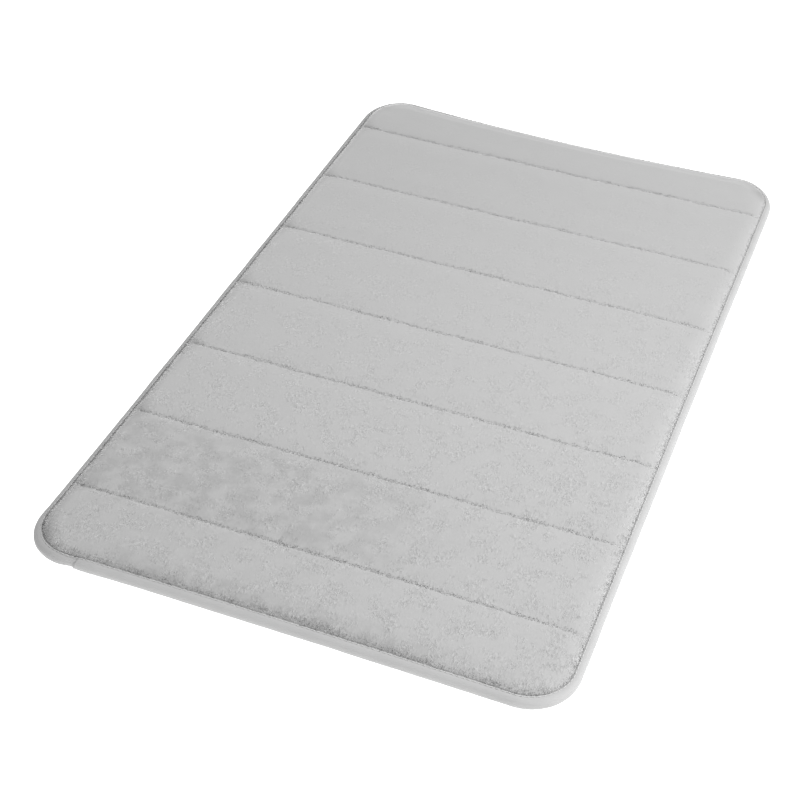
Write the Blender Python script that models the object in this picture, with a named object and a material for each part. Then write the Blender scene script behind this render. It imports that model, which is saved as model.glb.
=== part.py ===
"""Quilted memory-foam bath mat.

A slab of foam lies between a pile-fabric cover and a non-slip backing fabric. Seven seams cross
the mat and quilt the cover to the foam. A tape folded round the edge binds the three layers.
Metres, +Z up. The origin is on the floor, under the middle of the mat. The long side runs along Y.
"""

import math

import bmesh
import bpy

# Overall size
MAT_WIDTH = 0.508
MAT_LENGTH = 0.864
PAD_HEIGHT = 0.0205
CORNER_RADIUS = 0.048

# Layers
COVER_THICKNESS = 0.0022
BASE_THICKNESS = 0.001
PAD_SIDE_RUN = 0.014
PAD_SIDE_POWER = 2.2
BASE_RISE_RUN = 0.0031

# Edge binding: a folded tape, its ends near the front-left corner
BINDING_HEIGHT = 0.0142
BINDING_REACH = 0.0078
BINDING_POWER = 3.0
TAPE_THICKNESS = 0.0012
TAPE_LAP_FROM_LEFT = 0.054
SEAM_TO_TAPE_EDGE = 0.0015
LAYER_EDGE_SHARE = 0.68

# Cross seams
SEAM_COUNT = 7
END_CHANNEL = 0.0816
SEAM_SHIFT = 0.0035
GROOVE_DEPTH = 0.004
GROOVE_HALF_WIDTH = 0.008

# Thread and fits
THREAD_DIAMETER = 0.0006
GAP = 0.0003
FLOOR_CLEARANCE = 0.0001

# Fineness of the shapes
CORNER_STEPS = 7
SIDE_STEPS = 5
FOLD_STEPS = 10
GROOVE_STEPS = 8
CUTTER_MARGIN = 0.002

# Levels worked out from the sizes above, counted up from the floor
SEAM_PITCH = (MAT_LENGTH - 2 * END_CHANNEL) / (SEAM_COUNT - 1)
SEAM_PLACES = [SEAM_SHIFT + SEAM_PITCH * (step - (SEAM_COUNT - 1) / 2) for step in range(SEAM_COUNT)]
BINDING_FOOT = FLOOR_CLEARANCE + THREAD_DIAMETER + GAP
BASE_EDGE_Z = BINDING_FOOT + TAPE_THICKNESS + GAP
FOAM_EDGE_Z = BASE_EDGE_Z + BASE_THICKNESS + GAP
COVER_EDGE_TOP_Z = BINDING_HEIGHT - TAPE_THICKNESS - GAP
COVER_EDGE_Z = COVER_EDGE_TOP_Z - COVER_THICKNESS
FOAM_FLOOR_Z = BASE_THICKNESS + GAP
FOAM_EDGE_TOP_Z = COVER_EDGE_Z - GAP
FOAM_TOP_Z = PAD_HEIGHT - COVER_THICKNESS - GAP
FOAM_GROOVE_Z = FOAM_TOP_Z - GROOVE_DEPTH

# Insets worked out from the sizes above, counted in from the mat's outer edge
BINDING_SEAM_INSET = BINDING_REACH - SEAM_TO_TAPE_EDGE
LAYER_EDGE_INSET = LAYER_EDGE_SHARE * BINDING_REACH
FOAM_NOSE_INSET = TAPE_THICKNESS + 2 * GAP
BASE_RISE_INSET = BINDING_REACH + BASE_THICKNESS + 2 * GAP
PAD_SIDE_INSET = BINDING_REACH + GAP
PAD_TOP_INSET = PAD_SIDE_INSET + PAD_SIDE_RUN
HOLLOW_SIDE_INSET = PAD_SIDE_INSET + COVER_THICKNESS
BASE_FLAT_INSET = BASE_RISE_INSET + BASE_RISE_RUN

# The groove in the foam is wider than the one in the cover by the cover's turn over its edges
FOAM_GROOVE_HALF_WIDTH = GROOVE_HALF_WIDTH + COVER_THICKNESS / 2
BOBBIN_HALF_LENGTH = MAT_WIDTH / 2 - PAD_TOP_INSET


def fabric(name, colour, roughness):
    """A plain dielectric material."""
    material = bpy.data.materials.new(name)
    material.use_nodes = True
    shader = material.node_tree.nodes["Principled BSDF"]
    shader.inputs["Base Color"].default_value = (*colour, 1.0)
    shader.inputs["Roughness"].default_value = roughness
    shader.inputs["Metallic"].default_value = 0.0
    return material


def rounded_outline(inset, steps=CORNER_STEPS):
    """The mat's outline moved in by inset, counter-clockwise from the right side's back corner."""
    radius = max(CORNER_RADIUS - inset, GAP)
    x_centre = MAT_WIDTH / 2 - inset - radius
    y_centre = MAT_LENGTH / 2 - inset - radius
    points = []
    for quarter, (x_side, y_side) in enumerate(((1, 1), (-1, 1), (-1, -1), (1, -1))):
        for step in range(steps + 1):
            angle = math.pi / 2 * (quarter + step / steps)
            x = x_side * x_centre + radius * math.cos(angle)
            y = y_side * y_centre + radius * math.sin(angle)
            points.append((x, y))
    return points


def add_object(name, data, material=None, collection=None):
    """Links a new object, with its material, to the mat's collection or to the one given."""
    if material:
        data.materials.append(material)
    made = bpy.data.objects.new(name, data)
    (collection or parts).objects.link(made)
    return made


def layer(name, section, material=None, collection=None):
    """A flat layer: its section of (inset, height) points run round the outline, closed flat at both ends."""
    shape = bmesh.new()
    rings = [[shape.verts.new((x, y, z)) for x, y in rounded_outline(inset)] for inset, z in section]
    for lower, upper in zip(rings, rings[1:]):
        for side in range(len(lower)):
            after = (side + 1) % len(lower)
            shape.faces.new((lower[side], lower[after], upper[after], upper[side]))
    shape.faces.new(reversed(rings[0]))
    shape.faces.new(rings[-1])
    mesh = bpy.data.meshes.new(name)
    shape.to_mesh(mesh)
    shape.free()
    mesh.shade_smooth()
    mesh.set_sharp_from_angle(angle=math.radians(40))
    return add_object(name, mesh, material, collection)


def pad_side(foot_inset, foot_z, top_z):
    """The rounded side of the pad, from its foot beside the tape up to its flat top."""
    run = PAD_TOP_INSET - foot_inset
    points = []
    for step in range(SIDE_STEPS + 1):
        angle = math.pi / 2 * step / SIDE_STEPS
        across = abs(math.cos(angle)) ** (2 / PAD_SIDE_POWER)
        up = math.sin(angle) ** (2 / PAD_SIDE_POWER)
        points.append((foot_inset + run * (1 - across), foot_z + (top_z - foot_z) * up))
    return points


def curve_object(name, splines, material=None, collection=None, closed=True, flat=False):
    """A curve through points, straight between them."""
    data = bpy.data.curves.new(name, "CURVE")
    data.dimensions = "2D" if flat else "3D"
    for points in splines:
        spline = data.splines.new("POLY")
        spline.points.add(len(points) - 1)
        for target, point in zip(spline.points, points):
            target.co = (*point, *(0.0,) * (3 - len(point)), 1.0)
        spline.use_cyclic_u = closed
    return add_object(name, data, material, collection)


def as_mesh(curve):
    """Turns a curve object into a welded mesh object of the same name, place and collection."""
    name = curve.name
    home = curve.users_collection[0]
    bpy.context.view_layer.update()
    graph = bpy.context.evaluated_depsgraph_get()
    mesh = bpy.data.meshes.new_from_object(curve.evaluated_get(graph))
    shape = bmesh.new()
    shape.from_mesh(mesh)
    bmesh.ops.remove_doubles(shape, verts=shape.verts, dist=1e-6)
    bmesh.ops.recalc_face_normals(shape, faces=shape.faces)
    shape.to_mesh(mesh)
    shape.free()
    made = bpy.data.objects.new(name, mesh)
    made.matrix_world = curve.matrix_world
    bpy.data.objects.remove(curve)
    made.name = name
    home.objects.link(made)
    return made


def groove_cutter(name, half_width, bottom, top):
    """One long bar for each cross seam. Its underside has the groove's rounded section."""
    outlines = []
    for place in SEAM_PLACES:
        outline = []
        for step in range(GROOVE_STEPS + 1):
            across = 2 * step / GROOVE_STEPS - 1
            rise = (1 - math.cos(math.pi * across)) / 2
            outline.append((place + half_width * across, bottom + (top + GAP - bottom) * rise))
        outline.append((place + half_width, top + CUTTER_MARGIN))
        outline.append((place - half_width, top + CUTTER_MARGIN))
        outlines.append(outline)
    bars = curve_object(name, outlines, None, cutters, flat=True)
    bars.data.fill_mode = "BOTH"
    bars.data.extrude = MAT_WIDTH / 2
    bars.rotation_euler = (math.pi / 2, 0.0, math.pi / 2)
    return hide(as_mesh(bars))


def slot_cutter():
    """A slot under the foam for each cross seam's bobbin thread."""
    half_width = THREAD_DIAMETER / 2 + GAP
    ceiling = FOAM_FLOOR_Z + THREAD_DIAMETER + GAP
    floor = FOAM_FLOOR_Z - CUTTER_MARGIN
    outlines = []
    for place in SEAM_PLACES:
        left, right = place - half_width, place + half_width
        outlines.append([(left, floor), (right, floor), (right, ceiling), (left, ceiling)])
    slots = curve_object("bobbin_slots", outlines, None, cutters, flat=True)
    slots.data.fill_mode = "BOTH"
    slots.data.extrude = BOBBIN_HALF_LENGTH + GAP
    slots.rotation_euler = (math.pi / 2, 0.0, math.pi / 2)
    return hide(as_mesh(slots))


def hide(helper):
    """Marks a cutter or guide, which is drawn as wire and never rendered."""
    helper.hide_render = True
    helper.display_type = "WIRE"
    return helper


def cut(target, cutter):
    """Takes the cutter's shape out of the target."""
    modifier = target.modifiers.new("cut " + cutter.name, "BOOLEAN")
    modifier.operation = "DIFFERENCE"
    modifier.solver = "EXACT"
    modifier.object = cutter


def thread(name, points, material, closed=False):
    """A sewing thread laid through points."""
    made = curve_object(name, [points], material, closed=closed)
    made.data.bevel_depth = THREAD_DIAMETER / 2
    made.data.bevel_resolution = 2
    made.data.use_fill_caps = not closed
    return made


for leftover in list(bpy.data.objects):
    bpy.data.objects.remove(leftover)
parts = bpy.data.collections.new("bath_mat")
cutters = bpy.data.collections.new("cutters")
bpy.context.scene.collection.children.link(parts)
bpy.context.scene.collection.children.link(cutters)

pile_fleece = fabric("pile_fleece", (0.54, 0.54, 0.54), 0.95)
memory_foam = fabric("memory_foam", (0.72, 0.69, 0.60), 0.9)
backing_fabric = fabric("backing_fabric", (0.42, 0.42, 0.42), 0.85)
binding_tape = fabric("binding_tape", (0.58, 0.58, 0.58), 0.8)
sewing_thread = fabric("sewing_thread", (0.62, 0.62, 0.62), 0.6)

# Non-slip base: a fabric that lies on the floor and rises at its edge to pass over the tape
base_section = [
    (BASE_FLAT_INSET, 0.0),
    (BASE_RISE_INSET, BASE_EDGE_Z),
    (LAYER_EDGE_INSET, BASE_EDGE_Z),
    (LAYER_EDGE_INSET, BASE_EDGE_Z + BASE_THICKNESS),
    (BASE_RISE_INSET, BASE_EDGE_Z + BASE_THICKNESS),
    (BASE_FLAT_INSET, BASE_THICKNESS),
]
layer("nonslip_base", base_section, backing_fabric)

# Foam core: one slab, squeezed thin where the tape grips its edge
nose_drop = (FOAM_EDGE_TOP_Z - FOAM_EDGE_Z) / 4
foam_section = [
    (BASE_FLAT_INSET, FOAM_FLOOR_Z),
    (BASE_RISE_INSET, FOAM_EDGE_Z),
    (LAYER_EDGE_INSET, FOAM_EDGE_Z),
    (FOAM_NOSE_INSET, FOAM_EDGE_Z + nose_drop),
    (FOAM_NOSE_INSET, FOAM_EDGE_TOP_Z - nose_drop),
    (LAYER_EDGE_INSET, FOAM_EDGE_TOP_Z),
    *pad_side(HOLLOW_SIDE_INSET + GAP, FOAM_EDGE_TOP_Z, FOAM_TOP_Z),
]
foam = layer("foam_core", foam_section, memory_foam)
foam_grooves = groove_cutter("foam_grooves", FOAM_GROOVE_HALF_WIDTH + GAP, FOAM_GROOVE_Z, FOAM_TOP_Z)
cut(foam, foam_grooves)
cut(foam, slot_cutter())

# Top cover: pile fabric over the foam, its edge under the tape's upper lip
cover_section = [
    (LAYER_EDGE_INSET, COVER_EDGE_Z),
    (LAYER_EDGE_INSET, COVER_EDGE_TOP_Z),
    *pad_side(PAD_SIDE_INSET, COVER_EDGE_TOP_Z, PAD_HEIGHT),
]
cover = layer("top_cover", cover_section, pile_fleece)
cut(cover, groove_cutter("cover_grooves", GROOVE_HALF_WIDTH, PAD_HEIGHT - GROOVE_DEPTH, PAD_HEIGHT))
hollow_section = [
    (HOLLOW_SIDE_INSET, COVER_EDGE_Z - CUTTER_MARGIN),
    *pad_side(HOLLOW_SIDE_INSET, COVER_EDGE_Z, FOAM_TOP_Z + GAP),
]
cover_hollow = hide(layer("cover_hollow", hollow_section, None, cutters))
hollow_levels = (FOAM_GROOVE_Z + GAP, FOAM_TOP_Z + GAP)
hollow_grooves = groove_cutter("hollow_grooves", FOAM_GROOVE_HALF_WIDTH, *hollow_levels)
cut(cover_hollow, hollow_grooves)
cut(cover, cover_hollow)


# Edge binding: a tape folded to a C round the edge and swept along the outline, open at its lap
def tape_fold(depth, half_height, reverse):
    """Points round the fold at this depth and half height, from the lower lip to the upper one."""
    middle = (BINDING_HEIGHT + BINDING_FOOT) / 2
    points = []
    for step in range(FOLD_STEPS + 1):
        angle = math.pi * (step / FOLD_STEPS - 0.5)
        out = abs(math.cos(angle)) ** (2 / BINDING_POWER)
        up = math.copysign(abs(math.sin(angle)) ** (2 / BINDING_POWER), math.sin(angle))
        points.append((BINDING_REACH - depth * out, middle + half_height * up))
    return points[::-1] if reverse else points


fold_half_height = (BINDING_HEIGHT - BINDING_FOOT) / 2
outer_fold = tape_fold(BINDING_REACH, fold_half_height, True)
inner_fold = tape_fold(BINDING_REACH - TAPE_THICKNESS, fold_half_height - TAPE_THICKNESS, False)
fold_points = [(-inset, z) for inset, z in outer_fold + inner_fold]
tape_section = hide(curve_object("tape_section", [fold_points], None, cutters, flat=True))

lap_x = TAPE_LAP_FROM_LEFT - MAT_WIDTH / 2
front_y = -MAT_LENGTH / 2
outline = rounded_outline(0.0)
front_right = 3 * len(outline) // 4
tape_path = [(lap_x + GAP, front_y), *outline[front_right:], *outline[:front_right], (lap_x, front_y)]
binding = curve_object("edge_binding", [tape_path], binding_tape, closed=False)
binding.data.bevel_mode = "OBJECT"
binding.data.bevel_object = tape_section
binding.data.use_fill_caps = True

# Threads of the binding's seam, round the mat through the tape's two lips
needle_z = BINDING_HEIGHT + GAP + THREAD_DIAMETER / 2
bobbin_z = FLOOR_CLEARANCE + THREAD_DIAMETER / 2
seam_outline = rounded_outline(BINDING_SEAM_INSET)
thread("binding_needle_thread", [(x, y, needle_z) for x, y in seam_outline], sewing_thread, True)
thread("binding_bobbin_thread", [(x, y, bobbin_z) for x, y in seam_outline], sewing_thread, True)

# Threads of each cross seam: one in the cover's groove, one in the slot under the foam
groove_thread_z = PAD_HEIGHT - GROOVE_DEPTH + GAP + THREAD_DIAMETER / 2
slot_thread_z = FOAM_FLOOR_Z + THREAD_DIAMETER / 2
groove_half_length = MAT_WIDTH / 2 - PAD_SIDE_INSET
for number, place in enumerate(SEAM_PLACES, start=1):
    top_ends = [(side * groove_half_length, place, groove_thread_z) for side in (-1, 1)]
    slot_ends = [(side * BOBBIN_HALF_LENGTH, place, slot_thread_z) for side in (-1, 1)]
    thread(f"quilt_needle_thread_{number}", top_ends, sewing_thread)
    thread(f"quilt_bobbin_thread_{number}", slot_ends, sewing_thread)
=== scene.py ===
"""Looks of the quilted memory-foam bath mat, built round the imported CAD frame.

From the floor up: a non-slip base with grip dots, a foam slab, a pile cover quilted to it by seven
cross seams, and a folded tape sewn round the edge. Metres, +Z up, in the frame of the CAD model.
"""

import math

import bpy
import numpy as np
from mathutils import Matrix, Vector


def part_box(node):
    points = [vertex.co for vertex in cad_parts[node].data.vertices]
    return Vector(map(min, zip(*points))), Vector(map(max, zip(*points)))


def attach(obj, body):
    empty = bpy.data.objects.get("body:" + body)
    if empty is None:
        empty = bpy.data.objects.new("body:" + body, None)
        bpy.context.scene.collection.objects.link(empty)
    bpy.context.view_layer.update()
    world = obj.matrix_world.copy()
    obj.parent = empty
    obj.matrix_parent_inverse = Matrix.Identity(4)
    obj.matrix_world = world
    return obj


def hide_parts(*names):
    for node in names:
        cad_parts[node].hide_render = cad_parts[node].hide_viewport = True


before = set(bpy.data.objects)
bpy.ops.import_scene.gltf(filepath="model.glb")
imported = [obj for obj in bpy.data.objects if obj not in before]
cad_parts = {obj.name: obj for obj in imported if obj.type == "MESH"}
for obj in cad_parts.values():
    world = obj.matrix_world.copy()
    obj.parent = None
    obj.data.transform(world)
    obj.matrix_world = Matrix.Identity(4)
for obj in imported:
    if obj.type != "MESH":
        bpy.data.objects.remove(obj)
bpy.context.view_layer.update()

# Non-slip base ------------------------------------------------------------------------------
# A knitted polyester backing cloth. It lies on the floor and climbs at its edge into the tape's fold.
# Soft PVC dots are printed on its underside in staggered rows, and the mat stands on them.

tape_low, tape_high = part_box("edge_binding")
HALF_WIDTH = tape_high.x
HALF_LENGTH = tape_high.y
CORNER_RADIUS = 0.048
RIM_INSET = 0.0054
FLAT_INSET = 0.026
DOT_HEIGHT = 0.0007
DOT_RADIUS = 0.0016
DOT_PITCH = 0.0088
DOT_FOOT_SHARE = 0.62
DOT_SINK = 0.0001
BACKING_THICKNESS = 0.0008
BACKING_FLAT_INSET = 0.0125
BACKING_SPACING = 0.008
BACKING_RIM_Z = 0.0034
SAME_LINE = 0.0004

# How the mat strays from a true rectangle: its ends and sides bow about a level that stays in place, its
# back end is skewed, its seams drift forwards, and two opposite corners are moved towards the front left
BACK_BOW = 0.0142
BACK_LEVEL = 0.03
BACK_SKEW = 0.0022
BACK_POWER = 9
FRONT_BOW = 0.0020
FRONT_LEVEL = 0.5
FRONT_POWER = 4
SIDE_BOW = 0.0010
SIDE_LEVEL = 0.1
SEAM_DRIFT = 0.0030
DRIFT_SLOPE = 0.8
CORNER_OUT = 0.0075
CORNER_IN = 0.0070
CORNER_POWER_ACROSS = 12
CORNER_POWER_ALONG = 20


def linear(hex_colour):
    """An sRGB hex colour as linear red, green, blue and full alpha."""
    parts = [int(hex_colour[place:place + 2], 16) / 255 for place in (0, 2, 4)]
    lit = [part / 12.92 if part <= 0.04045 else ((part + 0.055) / 1.055) ** 2.4 for part in parts]
    return (*lit, 1.0)


def node(tree, kind, inputs=None, **settings):
    """Adds a node with its settings. An input is a value, an output, or a node for its first output."""
    made = tree.nodes.new(kind)
    for name, value in settings.items():
        setattr(made, name, value)
    for socket, value in (inputs or {}).items():
        if isinstance(value, bpy.types.Node):
            value = value.outputs[0]
        if isinstance(value, bpy.types.NodeSocket):
            tree.links.new(value, made.inputs[socket])
        else:
            made.inputs[socket].default_value = value
    return made


def new_material(name):
    """An empty material with its node tree, its Principled shader and the object-space position."""
    material = bpy.data.materials.new(name)
    material.use_nodes = True
    tree = material.node_tree
    shader = tree.nodes["Principled BSDF"]
    position = node(tree, "ShaderNodeTexCoord").outputs["Object"]
    return material, tree, shader, position


def grid_lines(half, ends, spacing, middle=None):
    """A grid's lines across one direction: close together at both borders and even between them."""
    inner = half - ends[-1]
    if middle is None:
        middle = np.linspace(-inner, inner, max(2, round(2 * inner / spacing)) + 1)
    middle = middle[np.abs(middle) < inner - SAME_LINE]
    return np.concatenate([-(half - ends), middle, (half - ends)[::-1]])


def relaxed(points):
    """The same points on the mat as it really lies, with its edges drawn in and its seams slightly uneven."""
    moved = np.array(points, float)
    x, y = moved[..., 0] / HALF_WIDTH, moved[..., 1] / HALF_LENGTH
    back = np.clip(y, 0, 1) ** BACK_POWER
    front = np.clip(-y, 0, 1) ** FRONT_POWER
    back_in = back * (BACK_BOW * (x * x - BACK_LEVEL) - BACK_SKEW * x)
    moved[..., 1] += back_in - front * FRONT_BOW * (x * x + FRONT_LEVEL)
    moved[..., 1] -= SEAM_DRIFT * np.clip(1 - y * y, 0, 1) * (1 + DRIFT_SLOPE * y)
    moved[..., 0] += SIDE_BOW * x * (y * y - SIDE_LEVEL)
    front_left = np.clip(-x, 0, 1) ** CORNER_POWER_ACROSS * np.clip(-y, 0, 1) ** CORNER_POWER_ALONG
    back_right = np.clip(x, 0, 1) ** CORNER_POWER_ACROSS * np.clip(y, 0, 1) ** CORNER_POWER_ALONG
    moved[..., :2] -= (CORNER_OUT * front_left + CORNER_IN * back_right)[..., None]
    return moved


def drape(across, along, profile):
    """Points of a sheet over the mat's rounded outline, and each point's distance in from the border.

    profile rows are (distance in from the border along the cloth, inset from the mat's edge, height).
    In each corner the grid's square rings become arcs that run parallel to the mat's edge.
    """
    run, inset, height = profile.T

    def inset_at(reach):
        return np.interp(reach, run, inset) + np.maximum(reach - run[-1], 0)

    reach_x = (HALF_WIDTH - np.abs(across))[:, None]
    reach_y = (HALF_LENGTH - np.abs(along))[None, :]
    reach = np.minimum(reach_x, reach_y)
    x = np.broadcast_to(HALF_WIDTH - inset_at(reach_x), reach.shape)
    y = np.broadcast_to(HALF_LENGTH - inset_at(reach_y), reach.shape)
    past_x = 1 - reach_x / CORNER_RADIUS
    past_y = 1 - reach_y / CORNER_RADIUS
    corner = (past_x > 0) & (past_y > 0)
    furthest = np.where(corner, np.maximum(past_x, past_y), 1.0)
    turn = np.where(past_y <= past_x, past_y / furthest, 2 - past_x / furthest) * math.pi / 4
    radius = CORNER_RADIUS - inset_at(reach)
    x = np.where(corner, HALF_WIDTH - CORNER_RADIUS + radius * np.cos(turn), x) * np.sign(across)[:, None]
    y = np.where(corner, HALF_LENGTH - CORNER_RADIUS + radius * np.sin(turn), y) * np.sign(along)[None, :]
    return np.stack([x, y, np.interp(reach, run, height)], axis=-1), reach


def grid_faces(columns, rows, start=0, flip=False):
    """Quads of a grid of points numbered row by row within each column."""
    first = start + (np.arange(columns - 1)[:, None] * rows + np.arange(rows - 1)).ravel()
    quads = np.stack([first, first + rows, first + rows + 1, first + 1], axis=1)
    return (quads[:, ::-1] if flip else quads).tolist()


def grid_border(columns, rows, start=0):
    """Point numbers round a grid's border, counter-clockwise."""
    front = [start + column * rows for column in range(columns)]
    right = [start + (columns - 1) * rows + row for row in range(1, rows)]
    back = [start + column * rows + rows - 1 for column in range(columns - 2, -1, -1)]
    left = [start + row for row in range(rows - 2, 0, -1)]
    return front + right + back + left


def piece_from(name, points, faces, material=None):
    """A smooth-shaded mesh object in the scene."""
    mesh = bpy.data.meshes.new(name)
    mesh.from_pydata(np.asarray(points, float).reshape(-1, 3).tolist(), [], faces)
    if material:
        mesh.materials.append(material)
    mesh.shade_smooth()
    made = bpy.data.objects.new(name, mesh)
    bpy.context.scene.collection.objects.link(made)
    return made


def settled(piece, *nodes, slot):
    """Fixes a finished piece to the mat's one body, in place of these CAD nodes."""
    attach(piece, "root")
    if nodes:
        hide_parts(*nodes)


def slab(name, top, bottom, material):
    """A closed slab between two sheets on the same grid."""
    columns, rows = top.shape[:2]
    count = columns * rows
    faces = grid_faces(columns, rows) + grid_faces(columns, rows, count, flip=True)
    upper, lower = grid_border(columns, rows), grid_border(columns, rows, count)
    for here, after in zip(range(len(upper)), [*range(1, len(upper)), 0]):
        faces.append([lower[here], lower[after], upper[after], upper[here]])
    points = relaxed(np.concatenate([top.reshape(-1, 3), bottom.reshape(-1, 3)]))
    return piece_from(name, points, faces, material)


def node_group(name, sizes):
    """A geometry node tree with named number inputs, and its input and output nodes."""
    tree = bpy.data.node_groups.new(name, "GeometryNodeTree")
    tree.interface.new_socket("Geometry", in_out="INPUT", socket_type="NodeSocketGeometry")
    tree.interface.new_socket("Geometry", in_out="OUTPUT", socket_type="NodeSocketGeometry")
    for size in sizes:
        tree.interface.new_socket(size, in_out="INPUT", socket_type="NodeSocketFloat")
    return tree, node(tree, "NodeGroupInput"), node(tree, "NodeGroupOutput")


def grown(name, carrier, tree, **sizes):
    """The plain mesh that a node tree makes on a carrier object, with its sizes set by socket identifier."""
    modifier = carrier.modifiers.new(tree.name, "NODES")
    modifier.node_group = tree
    for item in tree.interface.items_tree:
        if item.in_out == "INPUT" and item.name in sizes:
            modifier[item.identifier] = sizes[item.name]
    evaluated = carrier.evaluated_get(bpy.context.evaluated_depsgraph_get())
    mesh = bpy.data.meshes.new_from_object(evaluated)
    bpy.data.objects.remove(carrier)
    mesh.name = name
    made = bpy.data.objects.new(name, mesh)
    bpy.context.scene.collection.objects.link(made)
    return made


def moved_to(piece, place):
    """Moves a piece's points by a function of their places."""
    flat = np.empty(len(piece.data.vertices) * 3)
    piece.data.vertices.foreach_get("co", flat)
    piece.data.vertices.foreach_set("co", place(flat.reshape(-1, 3)).ravel())
    piece.data.update()


# Warp-knitted polyester backing cloth: matt mid grey, fine ribs a little over a millimetre apart
backing_cloth, tree, shader, position = new_material("warp_knit_backing_cloth")
KNIT_RIB = 0.0013
WAVE_BANDS = 3.2  # a wave texture at scale 1 draws this many bands in a metre
ribs = node(tree, "ShaderNodeTexWave", {
    "Vector": position,
    "Scale": 1 / KNIT_RIB / WAVE_BANDS,
    "Distortion": 0.6,
})
knit_dye = node(tree, "ShaderNodeMix", {
    "Factor": ribs.outputs["Fac"],
    "A": linear("9A9A9A"),
    "B": linear("B0B0B0"),
}, data_type="RGBA")
tree.links.new(knit_dye.outputs["Result"], shader.inputs["Base Color"])
shader.inputs["Roughness"].default_value = 0.9
knit_bump = node(tree, "ShaderNodeBump", {"Height": ribs.outputs["Fac"], "Strength": 0.5, "Distance": 0.0002})
tree.links.new(knit_bump.outputs["Normal"], shader.inputs["Normal"])

# Soft PVC printed as a paste and fused: smooth, a little glossy, almost clear grey
printed_pvc, _, shader, _ = new_material("printed_soft_pvc")
shader.inputs["Base Color"].default_value = linear("C9C9C7")
shader.inputs["Roughness"].default_value = 0.38
shader.inputs["IOR"].default_value = 1.53

backing_profile = np.array([
    (0.0, RIM_INSET, BACKING_RIM_Z),
    (0.0040, 0.0094, BACKING_RIM_Z),
    (0.0085, BACKING_FLAT_INSET, DOT_HEIGHT + BACKING_THICKNESS),
    (FLAT_INSET, FLAT_INSET, DOT_HEIGHT + BACKING_THICKNESS),
])
backing_ends = np.array([0.0, 0.0020, 0.0040, 0.0055, 0.0070, 0.0085, 0.0120, 0.0180, FLAT_INSET])
across = grid_lines(HALF_WIDTH, backing_ends, BACKING_SPACING)
along = grid_lines(HALF_LENGTH, backing_ends, BACKING_SPACING)
upper_face, _ = drape(across, along, backing_profile)
lower_face = upper_face - np.array([0.0, 0.0, BACKING_THICKNESS])
base = slab("nonslip_base_cloth", upper_face, lower_face, backing_cloth)
settled(base, "nonslip_base", slot="backing_fabric")

# The dots: a lattice of points, every second row moved half a pitch, cut to the rounded outline
dots_tree, given, result = node_group("printed dots", [
    "Width", "Length", "Pitch", "Radius", "Height", "Corner",
])
width, length, pitch, radius, dot_height, corner = [given.outputs[place] for place in range(1, 7)]
count_across = node(dots_tree, "ShaderNodeMath", {0: width, 1: pitch}, operation="DIVIDE")
count_along = node(dots_tree, "ShaderNodeMath", {0: length, 1: pitch}, operation="DIVIDE")
lattice = node(dots_tree, "GeometryNodeMeshGrid", {
    "Size X": width,
    "Size Y": length,
    "Vertices X": count_across,
    "Vertices Y": count_along,
})
position = node(dots_tree, "GeometryNodeInputPosition")
split = node(dots_tree, "ShaderNodeSeparateXYZ", {0: position})
row = node(dots_tree, "ShaderNodeMath", {0: split.outputs["Y"], 1: pitch}, operation="DIVIDE")
row = node(dots_tree, "ShaderNodeMath", {0: row}, operation="ROUND")
odd = node(dots_tree, "ShaderNodeMath", {0: row, 1: 2.0}, operation="FLOORED_MODULO")
shift = node(dots_tree, "ShaderNodeMath", {0: odd, 1: pitch}, operation="MULTIPLY")
shift = node(dots_tree, "ShaderNodeMath", {0: shift, 1: 0.5}, operation="MULTIPLY")
offset = node(dots_tree, "ShaderNodeCombineXYZ", {"X": shift})
moved = node(dots_tree, "GeometryNodeSetPosition", {"Geometry": lattice, "Offset": offset})
half = node(dots_tree, "ShaderNodeCombineXYZ", {"X": width, "Y": length})
half = node(dots_tree, "ShaderNodeVectorMath", {0: half, "Scale": 0.5}, operation="SCALE")
straight = node(dots_tree, "ShaderNodeCombineXYZ", {"X": corner, "Y": corner})
straight = node(dots_tree, "ShaderNodeVectorMath", {0: half, 1: straight}, operation="SUBTRACT")
folded = node(dots_tree, "ShaderNodeVectorMath", {0: position}, operation="ABSOLUTE")
past = node(dots_tree, "ShaderNodeVectorMath", {0: folded, 1: straight}, operation="SUBTRACT")
past = node(dots_tree, "ShaderNodeVectorMath", {0: past, 1: (0.0, 0.0, 0.0)}, operation="MAXIMUM")
away = node(dots_tree, "ShaderNodeVectorMath", {0: past}, operation="LENGTH")
outside = node(dots_tree, "ShaderNodeMath", {0: away.outputs["Value"], 1: corner}, operation="GREATER_THAN")
kept = node(dots_tree, "GeometryNodeDeleteGeometry", {"Geometry": moved, "Selection": outside})
foot = node(dots_tree, "ShaderNodeMath", {0: radius, 1: DOT_FOOT_SHARE}, operation="MULTIPLY")
dot = node(dots_tree, "GeometryNodeMeshCone", {
    "Vertices": 8,
    "Radius Top": radius,
    "Radius Bottom": foot,
    "Depth": dot_height,
})
placed = node(dots_tree, "GeometryNodeInstanceOnPoints", {"Points": kept, "Instance": dot.outputs["Mesh"]})
real = node(dots_tree, "GeometryNodeRealizeInstances", {"Geometry": placed})
flat_faced = node(dots_tree, "GeometryNodeSetShadeSmooth", {"Geometry": real, "Shade Smooth": False})
coated = node(dots_tree, "GeometryNodeSetMaterial", {"Geometry": flat_faced, "Material": printed_pvc})
dots_tree.links.new(coated.outputs[0], result.inputs[0])

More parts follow.
